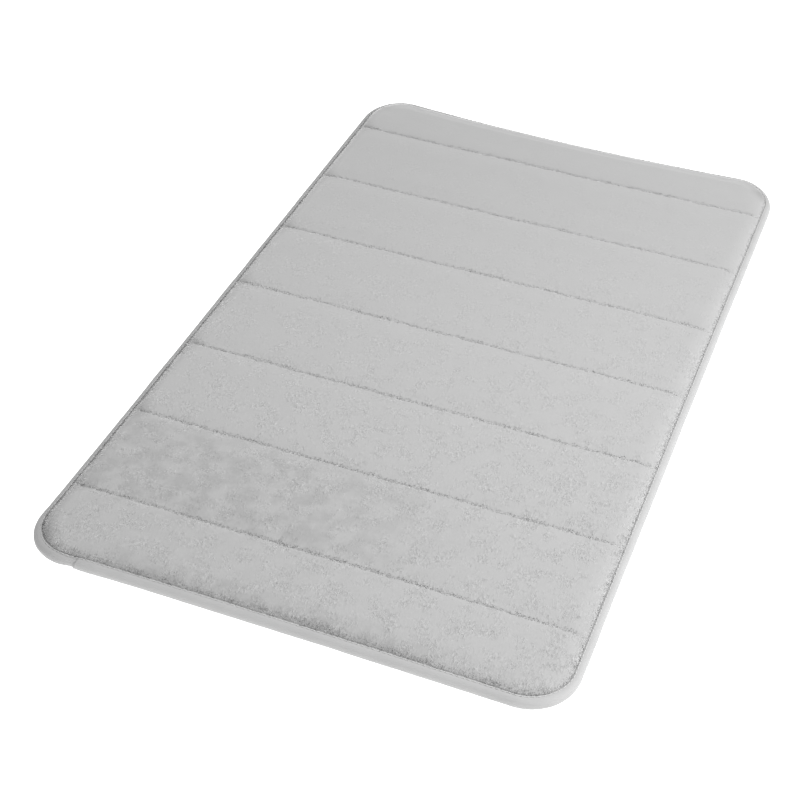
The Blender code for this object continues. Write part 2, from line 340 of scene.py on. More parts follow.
dot_field = piece_from("dot_field", [(0, 0, 0), (0.001, 0, 0), (0, 0.001, 0)], [(0, 1, 2)])
dots = grown(
    "grip_dots",
    dot_field,
    dots_tree,
    Width=2 * (HALF_WIDTH - BACKING_FLAT_INSET - DOT_RADIUS),
    Length=2 * (HALF_LENGTH - BACKING_FLAT_INSET - DOT_RADIUS),
    Pitch=DOT_PITCH,
    Radius=DOT_RADIUS,
    Height=DOT_HEIGHT + DOT_SINK,
    Corner=CORNER_RADIUS - BACKING_FLAT_INSET,
)
moved_to(dots, relaxed)
settled(dots, slot="backing_fabric")

# Foam core ----------------------------------------------------------------------------------
# One slab of slow-recovery polyurethane foam. The seams press grooves into its top, narrow slots
# under it hold their lower threads, and the tape squeezes its edge thin.

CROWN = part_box("top_cover")[1].z
seam_boxes = [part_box(f"quilt_needle_thread_{number}") for number in range(1, 8)]
SEAMS = np.array([(low.y + high.y) / 2 for low, high in seam_boxes])
SEAM_HALF = seam_boxes[0][1].x
HOLLOW_DEPTH = 0.0015
HOLLOW_WIDTH = 0.0070
TUCK_DEPTH = 0.0006
TUCK_WIDTH = 0.0014
SIDE_FOOT_INSET = 0.0074
SIDE_FOOT_Z = 0.0136
SIDE_RUN = 0.0178
SIDE_POWER = 2.0
SIDE_STEPS = 14
FOAM_FOOT_INSET = 0.0098
FOAM_FOOT_Z = 0.0104
FOAM_RUN = 0.0145
FOAM_GAP = 0.0024
FOAM_SPACING = 0.008
HOLLOW_FADE = 0.014
TUCK_LINE = 0.0008
SLOT_HALF = 0.0006
SLOT_RISE = 0.0007
LEFT_CREASE = 0.0006
FRONT_CREASE = 0.0004
CREASE_END = 0.013
CREASE_FADE = 0.005


def side_profile(lead, foot_inset, foot_z, run, top_z):
    """Rows for drape: some leading (inset, height) points, then a rounded side up to a flat top."""
    points = list(lead)
    for step in range(SIDE_STEPS + 1):
        angle = math.pi / 2 * step / SIDE_STEPS
        share = max(math.cos(angle), 0.0) ** (2 / SIDE_POWER)
        rise = math.sin(angle) ** (2 / SIDE_POWER)
        points.append((foot_inset + run * (1 - share), foot_z + (top_z - foot_z) * rise))
    points.append((FLAT_INSET, top_z))
    points = np.array(points)
    steps = np.hypot(*np.diff(points, axis=0).T)
    travelled = np.concatenate([[0.0], np.cumsum(steps)])
    return np.column_stack([travelled * FLAT_INSET / travelled[-1], points])


def crease(points, reach):
    """How much lower the pad's foot sits against the tape down the left side and along the front."""
    left = np.clip(-points[..., 0] / HALF_WIDTH, 0, 1) ** 8
    front = np.clip(-points[..., 1] / HALF_LENGTH, 0, 1) ** 12
    depth = LEFT_CREASE * left * (1 - front) + FRONT_CREASE * front
    return depth * np.clip((CREASE_END - reach) / CREASE_FADE, 0, 1)


def seam_distance(y):
    """The signed distance from each y to the nearest cross seam, positive on its far side."""
    away = y[..., None] - SEAMS
    nearest = np.abs(away).argmin(axis=-1)
    return np.take_along_axis(away, nearest[..., None], axis=-1)[..., 0]


def hollow(distance):
    """How far the quilted surface dips at a distance from a seam."""
    return HOLLOW_DEPTH * np.exp(-np.abs(distance) / HOLLOW_WIDTH)


def seam_lines(steps):
    """Grid lines at these steps to both sides of each seam."""
    steps = steps[steps < (SEAMS[1] - SEAMS[0]) / 2]
    return np.unique(np.round(np.concatenate([SEAMS[:, None] + steps, SEAMS[:, None] - steps]), 6))


# Slow-recovery polyurethane foam: matt, warm off-white, with fine open cells
open_cell_foam, tree, shader, position = new_material("open_cell_polyurethane_foam")
CELL = 0.0009
cells = node(tree, "ShaderNodeTexVoronoi", {"Vector": position, "Scale": 1 / CELL})
foam_colour = node(tree, "ShaderNodeMix", {
    "Factor": cells.outputs["Distance"],
    "A": linear("CFC8B4"),
    "B": linear("E4DFD0"),
}, data_type="RGBA")
tree.links.new(foam_colour.outputs["Result"], shader.inputs["Base Color"])
shader.inputs["Roughness"].default_value = 0.95
cell_bump = node(tree, "ShaderNodeBump", {
    "Height": cells.outputs["Distance"],
    "Strength": 0.6,
    "Distance": 0.0003,
})
tree.links.new(cell_bump.outputs["Normal"], shader.inputs["Normal"])

foam_steps = np.array([0, 0.0009, 0.0022, 0.0045, 0.0075, 0.011, 0.016, 0.023, 0.031, 0.04, 0.049])
foam_ends = np.array([0.0, 0.0015, 0.004, 0.006, 0.008, 0.010, 0.0125, 0.015, 0.018, 0.022, FLAT_INSET])
across = grid_lines(HALF_WIDTH, foam_ends, FOAM_SPACING)
along = grid_lines(HALF_LENGTH, foam_ends, FOAM_SPACING, seam_lines(foam_steps))
foam_edge = [(0.0094, 0.0048), (0.0094, 0.0100)]
foam_side = side_profile(foam_edge, FOAM_FOOT_INSET, FOAM_FOOT_Z, FOAM_RUN, CROWN - FOAM_GAP)
foam_top, reach = drape(across, along, foam_side)
distance = seam_distance(foam_top[..., 1])
foam_dip = hollow(distance) + TUCK_DEPTH * (np.abs(distance) < TUCK_LINE)
foam_top[..., 2] -= foam_dip * np.clip(reach / HOLLOW_FADE, 0, 1)
foam_under_profile = np.array([
    (0.0, 0.0094, 0.0042),
    (0.0025, 0.0099, 0.0040),
    (0.0060, 0.0132, 0.0019),
    (FLAT_INSET, FLAT_INSET, 0.0019),
])
foam_under, _ = drape(across, along, foam_under_profile)
in_slot = (np.abs(seam_distance(foam_under[..., 1])) < SLOT_HALF) & (reach >= FLAT_INSET)
foam_under[..., 2] += np.where(in_slot, SLOT_RISE, 0.0)
foam = slab("foam_slab", foam_top, foam_under, open_cell_foam)
settled(foam, "foam_core", slot="memory_foam")

# Top cover ----------------------------------------------------------------------------------
# Coral-fleece velvet: a dense polyester pile about 2 mm deep on a knitted ground, brushed up soft.
# It is quilted to the foam along the cross seams, and at its rim it is caught under the edge tape.

COVER_THICKNESS = 0.0021
COVER_SPACING = 0.00176
CLOTH_SPACING = 0.0062
CLOTH_FRAMES = 20
CLOTH_CAP = 0.0005
CLOTH_STEPS_END = 0.057
INNER_EVERY = 5
QUILT_PITCH = 0.0042
SEWN_HALF = 0.0004
SEWN_RIM = 0.007
SMOOTHINGS = 3
RANDOM_CELLS = 256
RANDOM_SHIFT = 100


def unevenness(x, y, size, seed):
    """A smooth random field between -1 and 1, with bumps about this size across."""
    table = np.random.default_rng(seed).uniform(-1, 1, (RANDOM_CELLS, RANDOM_CELLS))
    place_x, place_y = x / size + RANDOM_SHIFT, y / size + RANDOM_SHIFT
    cell_x, cell_y = np.floor(place_x).astype(int), np.floor(place_y).astype(int)
    part_x, part_y = place_x - cell_x, place_y - cell_y
    part_x = part_x * part_x * (3 - 2 * part_x)
    part_y = part_y * part_y * (3 - 2 * part_y)

    def corner(step_x, step_y):
        return table[(cell_x + step_x) % RANDOM_CELLS, (cell_y + step_y) % RANDOM_CELLS]

    near = corner(0, 0) * (1 - part_x) + corner(1, 0) * part_x
    far = corner(0, 1) * (1 - part_x) + corner(1, 1) * part_x
    return near * (1 - part_y) + far * part_y


def surface_normals(points):
    """Unit normals of a grid of points, upward on its flat part."""
    normal = np.cross(np.gradient(points, axis=0), np.gradient(points, axis=1))
    return normal / np.maximum(np.linalg.norm(normal, axis=-1, keepdims=True), 1e-12)


def puffed(across, along, profile):
    """How far a cloth moves that is sewn at its rim and seams and pressed up by the foam, capped."""
    start, reach = drape(across, along, profile)
    distance = seam_distance(start[..., 1])
    start[..., 2] -= hollow(distance) * np.clip(reach / HOLLOW_FADE, 0, 1)
    cloth = piece_from("cover_cloth", start, grid_faces(len(across), len(along)))
    pins = cloth.vertex_groups.new(name="sewn")
    sewn = (np.abs(distance) < SEWN_HALF) | (reach < SEWN_RIM)
    pins.add(np.flatnonzero(sewn.ravel()).tolist(), 1.0, "REPLACE")
    modifier = cloth.modifiers.new("cloth", "CLOTH")
    modifier.point_cache.frame_end = CLOTH_FRAMES
    settings = modifier.settings
    settings.vertex_group_mass = "sewn"
    settings.quality = 6
    settings.mass = 0.25
    settings.tension_stiffness = 12
    settings.compression_stiffness = 12
    settings.shear_stiffness = 6
    settings.bending_stiffness = 0.4
    settings.use_pressure = True
    settings.uniform_pressure_force = 4.0
    settings.effector_weights.gravity = 0.0
    for step in range(1, CLOTH_FRAMES + 1):
        bpy.context.scene.frame_set(step)
    moved = cloth.evaluated_get(bpy.context.evaluated_depsgraph_get()).data
    flat = np.empty(len(moved.vertices) * 3)
    moved.vertices.foreach_get("co", flat)
    travel = flat.reshape(start.shape) - start
    bpy.context.scene.frame_set(1)
    bpy.data.objects.remove(cloth)
    far = np.linalg.norm(travel, axis=-1, keepdims=True)
    return travel * CLOTH_CAP * np.tanh(far / CLOTH_CAP) / np.maximum(far, 1e-9)


def between_grids(values, across, along, fine_across, fine_along):
    """A coarse grid's values read and smoothed on a finer grid over the same mat."""
    step = np.empty((len(fine_across), len(along), values.shape[-1]))
    done = np.empty((len(fine_across), len(fine_along), values.shape[-1]))
    for part in range(values.shape[-1]):
        for row in range(len(along)):
            step[:, row, part] = np.interp(fine_across, across, values[:, row, part])
        for column in range(len(fine_across)):
            done[column, :, part] = np.interp(fine_along, along, step[column, :, part])
    for _ in range(SMOOTHINGS):
        done[1:-1] = (done[:-2] + 2 * done[1:-1] + done[2:]) / 4
    return done


cover_steps = np.array([
    0, 0.0006, 0.0012, 0.0018, 0.0025, 0.0034, 0.0046, 0.0062, 0.0083, 0.011, 0.0145, 0.0188, 0.0238, 0.029,
    0.0344, 0.040, 0.0458, 0.0517, 0.0584,
])
cover_ends = np.array([
    0.0, 0.0012, 0.0024, 0.0031, 0.0038, 0.0045, 0.0053, 0.0062, 0.0072, 0.0083, 0.0096, 0.0111, 0.0128,
    0.0147, 0.0168, 0.0190, 0.0213, 0.0236, FLAT_INSET,
])
cover_rim = [(RIM_INSET, 0.0120), (0.0079, 0.0121), (0.0079, 0.0128)]
cover_side = side_profile(cover_rim, SIDE_FOOT_INSET, SIDE_FOOT_Z, SIDE_RUN, CROWN)
cover_across = grid_lines(HALF_WIDTH, cover_ends, COVER_SPACING)
cover_along = grid_lines(HALF_LENGTH, cover_ends, COVER_SPACING, seam_lines(cover_steps))
top, reach = drape(cover_across, cover_along, cover_side)

# Each seam wanders a little. Its thread draws the pile into a tight tuck, which the pile half closes.
WANDER = 0.0005
WANDER_LENGTH = 0.030
WANDER_SEED = 3
SHAKE = 0.0002
SHAKE_LENGTH = 0.0048
TUCK_OPEN = 0.75
TUCK_UNEVEN = 0.55
TUCK_UNEVEN_LENGTH = 0.0065
TUCK_MOST_OPEN = 1.5
TUCK_DEEPER_AT_BACK = 0.35
STITCH_PULL = 0.18
SIDE_DIP_FROM = 0.004
SIDE_DIP_RUN = 0.012
SIDE_TUCK_FROM = 0.009
SIDE_TUCK_RUN = 0.010
x, y = top[..., 0], top[..., 1]
wander = WANDER * unevenness(x, y, WANDER_LENGTH, WANDER_SEED) + SHAKE * unevenness(x, 0 * y, SHAKE_LENGTH, 4)
distance = seam_distance(y + wander)
in_tuck = np.exp(-np.abs(distance / TUCK_WIDTH) ** 1.5)
stitch_pull = STITCH_PULL * np.cos(2 * math.pi * x / QUILT_PITCH)
uneven = TUCK_UNEVEN * unevenness(x, 0 * y, TUCK_UNEVEN_LENGTH, 5)
openness = np.clip(TUCK_OPEN + stitch_pull + uneven, 0.0, TUCK_MOST_OPEN)
on_top = np.clip((reach - SIDE_DIP_FROM) / SIDE_DIP_RUN, 0, 1)
off_rim = np.clip((reach - SIDE_TUCK_FROM) / SIDE_TUCK_RUN, 0, 1)
tuck = TUCK_DEPTH * (1 + TUCK_DEEPER_AT_BACK * y / HALF_LENGTH) * in_tuck * openness * off_rim
top[..., 2] -= (hollow(distance) + tuck) * on_top
top[..., 2] -= crease(top, reach)

cloth_across = grid_lines(HALF_WIDTH, cover_ends[::2], CLOTH_SPACING)
cloth_steps = np.arange(0, CLOTH_STEPS_END, CLOTH_SPACING)
cloth_along = grid_lines(HALF_LENGTH, cover_ends[::2], CLOTH_SPACING, seam_lines(cloth_steps))
travel = puffed(cloth_across, cloth_along, cover_side)
top += between_grids(travel, cloth_across, cloth_along, cover_across, cover_along)

# The brushed pile stands in soft clumps, most of all over the rounded sides and beside the seams.
# Rows of both kinds are (height, size across, seed).
LUMPS = [(0.00016, 0.038, 6), (0.00008, 0.015, 7)]
CLUMPS = [(0.00020, 0.0046, 8), (0.00012, 0.0026, 9)]
CLUMPS_BESIDE_SEAM = 0.006
SIDE_CLUMPS_END = 0.016
SIDE_CLUMPS_FADE = 0.006
TIPS_FROM = 0.003
TIPS_RUN = 0.002
TUCK_FLATTENS = 0.6
normal = surface_normals(top)
lumps = sum(height * unevenness(x, y, size, seed) for height, size, seed in LUMPS)
clumps = sum(height * unevenness(x, y, size, seed) for height, size, seed in CLUMPS)
beside_seams = np.exp(-(distance / CLUMPS_BESIDE_SEAM) ** 2)
on_sides = np.clip((SIDE_CLUMPS_END - reach) / SIDE_CLUMPS_FADE, 0, 1)
tips = np.clip((reach - TIPS_FROM) / TIPS_RUN, 0, 1) * (1 - TUCK_FLATTENS * in_tuck)
top += normal * ((lumps + clumps * np.maximum(beside_seams, on_sides)) * tips)[..., None]

# The knitted ground under the pile is on every few lines of the same grid
columns, rows = len(cover_across), len(cover_along)
inner_columns = np.unique([*range(0, columns, INNER_EVERY), columns - 1])
inner_rows = np.unique([*range(0, rows, INNER_EVERY), rows - 1])
under = (top - surface_normals(top) * COVER_THICKNESS)[np.ix_(inner_columns, inner_rows)]
count = columns * rows
faces = grid_faces(columns, rows) + grid_faces(len(inner_columns), len(inner_rows), count, flip=True)
outer_rim, inner_rim = grid_border(columns, rows), grid_border(len(inner_columns), len(inner_rows), count)
matching = [column * rows for column in inner_columns]
matching += [(columns - 1) * rows + row for row in inner_rows[1:]]
matching += [column * rows + rows - 1 for column in inner_columns[-2::-1]]
matching += list(inner_rows[-2:0:-1])
places = [outer_rim.index(point) for point in matching] + [len(outer_rim)]
outer_rim.append(outer_rim[0])
inner_rim.append(inner_rim[0])
for step in range(len(inner_rim) - 1):
    stretch = outer_rim[places[step]:places[step + 1] + 1]
    faces.append([inner_rim[step], inner_rim[step + 1], *reversed(stretch)])

# Cut velvet pile of fine polyester: soft and matt, brighter where it is seen from the side of its fibres.
# Clumps 1 to 3 mm long lie along the mat. Their bumps are drawn, and painted highlights and painted shade in
# the colour stand for their glints and the small dark gaps between them. They gather in loose patches and on
# the rounded sides. Near the front left the nap is ruffled into darker areas, less so on the front channel,
# and painted shade darkens the rounded side along the middle of the front edge in patches. Painted shade also
# makes it a shade darker towards the back, and darker on the rounded side at the left and the back, which
# face away from the light. Single fibres are too fine to show, so the clumps stand for them.
velvet_pile, tree, shader, position = new_material("coral_fleece_velvet_pile")
CLUMP = 0.0021
FLECK = 0.0012
PATCH = 0.020
GATHER = 0.014
GLINT_AND_GAP_DEPTH = 0.13
ALWAYS_RUFFLED = 0.10
SIDE_RUFFLED = 0.3
SIDE_GATHERED = 0.4
SHOULDER_SHADE_DEPTH = 0.36
PILE_DEPTH = 0.0010
split = node(tree, "ShaderNodeSeparateXYZ", {0: position})
along_nap = node(tree, "ShaderNodeMapping", {"Vector": position, "Scale": (1.0, 0.5, 1.0)})
nap = node(tree, "ShaderNodeTexNoise", {
    "Vector": position,
    "Scale": 1 / PATCH,
    "Detail": 3.0,
    "Roughness": 0.55,
})
clump = node(tree, "ShaderNodeTexNoise", {
    "Vector": along_nap,
    "Scale": 1 / CLUMP,
    "Detail": 1.0,
    "Distortion": 0.6,
})
fleck = node(tree, "ShaderNodeTexNoise", {
    "Vector": along_nap,
    "Scale": 1 / FLECK,
    "Detail": 1.0,
    "Distortion": 1.0,
})
gather = node(tree, "ShaderNodeTexNoise", {
    "Vector": position,
    "Scale": 1 / GATHER,
    "Detail": 3.0,
    "Roughness": 0.6,
})

# Each zone reads a place or a noise: where it starts and ends there, and what it goes from and to
zone = {}
for name, read, start, end, low, high, ease in (
    ("towards_front", split.outputs["Y"], 0.40, -0.20, 0.18, 1.0, "LINEAR"),
    ("on_side", split.outputs["Z"], 0.0196, 0.0165, 0.0, 1.0, "SMOOTHSTEP"),
    ("at_front", split.outputs["Y"], -0.21, -0.26, 0.0, 1.0, "SMOOTHSTEP"),
    ("off_front", split.outputs["Y"], -0.365, -0.335, 0.3, 1.0, "SMOOTHSTEP"),
    ("at_left", split.outputs["X"], 0.16, -0.06, 0.10, 1.0, "SMOOTHSTEP"),
    ("leaning", nap.outputs["Fac"], 0.40, 0.60, 0.83, 0.965, "LINEAR"),
    ("front_side_painted_shade", split.outputs["Y"], -0.398, -0.418, 0.0, 0.9, "SMOOTHSTEP"),
    ("mid_left", split.outputs["X"], -0.21, -0.13, 0.0, 1.0, "SMOOTHSTEP"),
    ("mid_right", split.outputs["X"], 0.17, 0.09, 0.0, 1.0, "SMOOTHSTEP"),
    ("gathered", gather.outputs["Fac"], 0.42, 0.62, 0.15, 1.05, "LINEAR"),
    ("left_side", split.outputs["X"], -0.222, -0.234, 0.0, 1.0, "LINEAR"),
    ("back_side", split.outputs["Y"], 0.385, 0.40, 0.0, 1.0, "LINEAR"),
    ("shoulder", split.outputs["Z"], 0.0204, 0.0180, 0.0, 1.0, "LINEAR"),
    # painted shade: the colour a little darker towards the back
    ("back_painted_shade", split.outputs["Y"], 0.0, 0.30, 1.0, 0.968, "LINEAR"),
):
    zone[name] = node(tree, "ShaderNodeMapRange", {
        "Value": read,
        "From Min": start,
        "From Max": end,
        "To Min": low,
        "To Max": high,
    }, interpolation_type=ease)

ruffled = node(tree, "ShaderNodeMath", {0: zone["at_front"], 1: zone["at_left"]}, operation="MULTIPLY")
ruffled = node(tree, "ShaderNodeMath", {0: ruffled, 1: zone["off_front"]}, operation="MULTIPLY")
# Painted shade on the rounded side along the middle of the front edge, patchy through the nap noise
front_side_painted_shade = node(tree, "ShaderNodeMath", {0: zone["front_side_painted_shade"], 1: zone["mid_left"]}, operation="MULTIPLY")
front_side_painted_shade = node(tree, "ShaderNodeMath", {0: front_side_painted_shade, 1: zone["mid_right"]}, operation="MULTIPLY")
ruffled = node(tree, "ShaderNodeMath", {0: ruffled, 1: front_side_painted_shade}, operation="MAXIMUM")
ruffled = node(tree, "ShaderNodeMath", {
    0: zone["on_side"],
    1: SIDE_RUFFLED,
    2: ruffled,
}, operation="MULTIPLY_ADD", use_clamp=True)
ruffled = node(tree, "ShaderNodeMath", {0: ruffled, 1: ALWAYS_RUFFLED}, operation="MAXIMUM")
# Mixes in the nap noise where the nap is ruffled and where painted shade lies on the front side
lean = node(tree, "ShaderNodeMix", {"Factor": ruffled, "A": 1.0, "B": zone["leaning"]})
share = node(tree, "ShaderNodeMath", {
    0: zone["on_side"],
    1: SIDE_GATHERED,
    2: zone["gathered"],
}, operation="MULTIPLY_ADD")
share = node(tree, "ShaderNodeMath", {0: share, 1: zone["towards_front"]}, operation="MULTIPLY")
grain = node(tree, "ShaderNodeMath", {0: clump, 1: fleck}, operation="ADD")
grain = node(tree, "ShaderNodeMath", {0: grain, 1: 1.0}, operation="SUBTRACT")
grain = node(tree, "ShaderNodeMath", {0: grain, 1: share}, operation="MULTIPLY")
# Painted highlights for glinting clumps and painted shade for the gaps between them, from the same grain as
# the bump
glints_and_gap_shade = node(tree, "ShaderNodeMapRange", {
    "Value": grain,
    "From Min": -0.24,
    "From Max": 0.24,
    "To Min": 1 - GLINT_AND_GAP_DEPTH,
    "To Max": 1 + GLINT_AND_GAP_DEPTH,
}, clamp=False)
# Painted shade on the rounded side at the left and the back, which face away from the light
shoulder_painted_shade = node(tree, "ShaderNodeMath", {0: zone["left_side"], 1: zone["back_side"]}, operation="MAXIMUM")
shoulder_painted_shade = node(tree, "ShaderNodeMath", {0: shoulder_painted_shade, 1: zone["shoulder"]}, operation="MULTIPLY")
shoulder_painted_shade = node(tree, "ShaderNodeMath", {0: shoulder_painted_shade, 1: -SHOULDER_SHADE_DEPTH, 2: 1.0}, operation="MULTIPLY_ADD")
# level: painted glints and gap shade, the nap, painted shoulder shade and painted shade towards the back
level = glints_and_gap_shade
for factor in (lean, shoulder_painted_shade, zone["back_painted_shade"]):
    level = node(tree, "ShaderNodeMath", {0: level, 1: factor}, operation="MULTIPLY")
# The pile's dye times the painted glints, gap shade and other painted shade in level
dye_and_painted_light = node(tree, "ShaderNodeVectorMath", {0: linear("A9A9A9")[:3], "Scale": level}, operation="SCALE")
tree.links.new(dye_and_painted_light.outputs[0], shader.inputs["Base Color"])
shader.inputs["Roughness"].default_value = 1.0
shader.inputs["Specular IOR Level"].default_value = 0.1
shader.inputs["Sheen Weight"].default_value = 1.0
shader.inputs["Sheen Roughness"].default_value = 0.45
pile_bump = node(tree, "ShaderNodeBump", {"Height": grain, "Strength": 1.0, "Distance": PILE_DEPTH})
tree.links.new(pile_bump.outputs["Normal"], shader.inputs["Normal"])

cover_points = relaxed(np.concatenate([top.reshape(-1, 3), under.reshape(-1, 3)]))
cover = piece_from("pile_cover", cover_points, faces, velvet_pile)
settled(cover, "top_cover", slot="pile_fleece")

# Locks of pile beside the cross seams and over the tape's inner edge. Each is one tapered clump.
LOCK_LENGTH = 0.0021
LOCK_ROOT = 0.00055
LOCKS_PER_AREA = 460000.0
LOCK_SEED = 11
LOCK_SINK = 0.0005
TAPE_LOCKS_FROM = 0.0036
TAPE_LOCKS_TO = 0.0084
TAPE_LOCKS_DOWN = 0.55
SEAM_LOCKS_HALF = 0.0026
SEAM_LOCKS_INSET = 0.016
SEAM_LOCKS_OVER = 0.7

locks_tree, given, result = node_group("pile locks", ["Per Area", "Length", "Root Radius", "Seed"])
scatter = node(locks_tree, "GeometryNodeDistributePointsOnFaces", {
    "Mesh": given.outputs["Geometry"],
    "Density": given.outputs["Per Area"],
    "Seed": given.outputs["Seed"],
})
lean_way = node(locks_tree, "GeometryNodeInputNamedAttribute", {
    "Name": "lean",
}, data_type="FLOAT_VECTOR")
stray = node(locks_tree, "FunctionNodeRandomValue", {
    "Min": (-0.55, -0.55, -0.25),
    "Max": (0.55, 0.55, 0.25),
    "Seed": given.outputs["Seed"],
}, data_type="FLOAT_VECTOR")
way = node(locks_tree, "ShaderNodeVectorMath", {
    0: lean_way.outputs["Attribute"],
    1: stray,
}, operation="ADD")
turned = node(locks_tree, "FunctionNodeAlignRotationToVector", {"Vector": way}, axis="Z")
size = node(locks_tree, "FunctionNodeRandomValue", {
    "Min": (0.6, 0.6, 0.5),
    "Max": (1.3, 1.3, 1.3),
    "Seed": given.outputs["Seed"],
}, data_type="FLOAT_VECTOR")
lock = node(locks_tree, "GeometryNodeMeshCone", {
    "Vertices": 4,
    "Radius Top": 0.0,
    "Radius Bottom": given.outputs["Root Radius"],
    "Depth": given.outputs["Length"],
})
placed = node(locks_tree, "GeometryNodeInstanceOnPoints", {
    "Points": scatter.outputs["Points"],
    "Instance": lock.outputs["Mesh"],
    "Rotation": turned,
    "Scale": size,
})
real = node(locks_tree, "GeometryNodeRealizeInstances", {"Geometry": placed})
smooth = node(locks_tree, "GeometryNodeSetShadeSmooth", {"Geometry": real, "Shade Smooth": True})
dressed = node(locks_tree, "GeometryNodeSetMaterial", {"Geometry": smooth, "Material": velvet_pile})
locks_tree.links.new(dressed.outputs[0], result.inputs[0])

normal = surface_normals(top)
over_tape = (reach > TAPE_LOCKS_FROM) & (reach < TAPE_LOCKS_TO)
beside_seam = (np.abs(distance) < SEAM_LOCKS_HALF) & (reach > SEAM_LOCKS_INSET)
lean = normal.copy()
lean[..., 2] -= np.where(over_tape, TAPE_LOCKS_DOWN, 0.0)
lean[..., 1] -= np.where(beside_seam, np.sign(distance) * SEAM_LOCKS_OVER, 0.0)
wanted = (over_tape | beside_seam)[:-1, :-1].ravel()
strip_faces = [face for face, keep in zip(grid_faces(columns, rows), wanted) if keep]
strip = piece_from("pile_strip", top - normal * LOCK_SINK, strip_faces)
lean_field = strip.data.attributes.new("lean", "FLOAT_VECTOR", "POINT")
lean_field.data.foreach_set("vector", lean.ravel())
lock_sizes = {"Per Area": LOCKS_PER_AREA, "Length": LOCK_LENGTH, "Root Radius": LOCK_ROOT, "Seed": LOCK_SEED}
locks = grown("pile_locks", strip, locks_tree, **lock_sizes)
moved_to(locks, relaxed)
settled(locks, slot="pile_fleece")

# Edge binding -------------------------------------------------------------------------------
# A smooth brushed-tricot tape about 26 mm wide, folded round the three layers and sewn through them.
# Its two ends overlap on the front edge near the left corner.

TAPE_THICKNESS = 0.0009
TAPE_STEP = 0.0019
TAPE_LAP = 0.014
TAPE_REACH = 0.0077
TAPE_WIDTH = 0.026
LAP_FROM_LEFT = 0.054
FOLD_POWER = 2.35
FOLD_POINTS = 21
SEW_INSET = 0.0058
SEW_PITCH = 0.0050
SEW_WIDTH = 0.0012
TOP_DRAW = 0.0005
UNDER_DRAW = 0.0006
FOLD_LOW = tape_low.z + 0.0002
FOLD_HIGH = 0.0141
LAP_PRESS = 0.0013
LAP_PRESS_LENGTH = 0.011
LAP_LIFT = 0.0003
LAP_END_THIN = 0.0006
LAP_END_LENGTH = 0.006
LAP_SLANT = 0.006
LAP_SLANT_RUN = 0.03
LAP_LIFT_END = 0.034
LAP_LIFT_FADE = 0.020
HOLE_SHARE = 0.15
LIP = 0.0003
LIP_LEFT = 0.0010
LIP_RIGHT = 0.0004
LIP_SIDE_POWER = 8


def on_outline(distance, inset):
    """Places and outward directions on the mat's outline, at distances from the tape's start."""
    straight_x = 2 * (HALF_WIDTH - CORNER_RADIUS)
    straight_y = 2 * (HALF_LENGTH - CORNER_RADIUS)
    arc = CORNER_RADIUS * math.pi / 2
    around = 2 * (straight_x + straight_y) + 4 * arc
    travelled = (distance + LAP_FROM_LEFT - CORNER_RADIUS) % around
    centre = np.array([-HALF_WIDTH + CORNER_RADIUS, -HALF_LENGTH + CORNER_RADIUS])
    place = np.zeros((*np.shape(distance), 2))
    outward = np.zeros_like(place)
    heading = -math.pi / 2
    for length in (straight_x, straight_y, straight_x, straight_y):
        facing = np.array([math.cos(heading), math.sin(heading)])
        forward = np.array([-facing[1], facing[0]])
        on_side = ((travelled >= 0) & (travelled < length))[..., None]
        place = np.where(on_side, centre + facing * CORNER_RADIUS + forward * travelled[..., None], place)
        outward = np.where(on_side, facing, outward)
        centre = centre + forward * length
        travelled = travelled - length
        on_arc = ((travelled >= 0) & (travelled < arc))[..., None]
        turned = heading + travelled / CORNER_RADIUS
        direction = np.stack([np.cos(turned), np.sin(turned)], axis=-1)
        place = np.where(on_arc, centre + direction * CORNER_RADIUS, place)
        outward = np.where(on_arc, direction, outward)
        travelled = travelled - arc
        heading += math.pi / 2
    return place - outward * np.asarray(inset)[..., None], outward


outline_length = 4 * (HALF_WIDTH + HALF_LENGTH - 2 * CORNER_RADIUS) + 2 * math.pi * CORNER_RADIUS
tape_length = outline_length + TAPE_LAP
sections = round(tape_length / TAPE_STEP)
length_at = np.linspace(0, tape_length, sections + 1)[:, None]
fold = np.linspace(-1, 1, FOLD_POINTS)[None, :]
angle = fold * math.pi / 2
out = np.abs(np.cos(angle)) ** (2 / FOLD_POWER)
up = np.sign(fold) * np.abs(np.sin(angle)) ** (2 / FOLD_POWER)
slow_fullness = 0.03 * unevenness(length_at, 0 * length_at, 0.040, 21)
fullness = 1 + slow_fullness + 0.015 * unevenness(length_at, fold, 0.010, 22)

# The under end is pressed flatter near the lap, and the upper end lies over it
to_lap = np.clip(outline_length - length_at, 0, None)
pressed = LAP_PRESS * np.exp(-(to_lap / LAP_PRESS_LENGTH) ** 2)
thinned = LAP_END_THIN * np.exp(-(length_at / LAP_END_LENGTH) ** 2)
lifted = LAP_LIFT * np.clip((LAP_LIFT_END - length_at) / LAP_LIFT_FADE, 0, 1) - thinned
reach_out = TAPE_REACH * out * fullness + (lifted - pressed) * out
rise = (FOLD_HIGH - FOLD_LOW) / 2 * up * (2 + fullness) / 3 + (lifted * 0.6 - pressed) * up

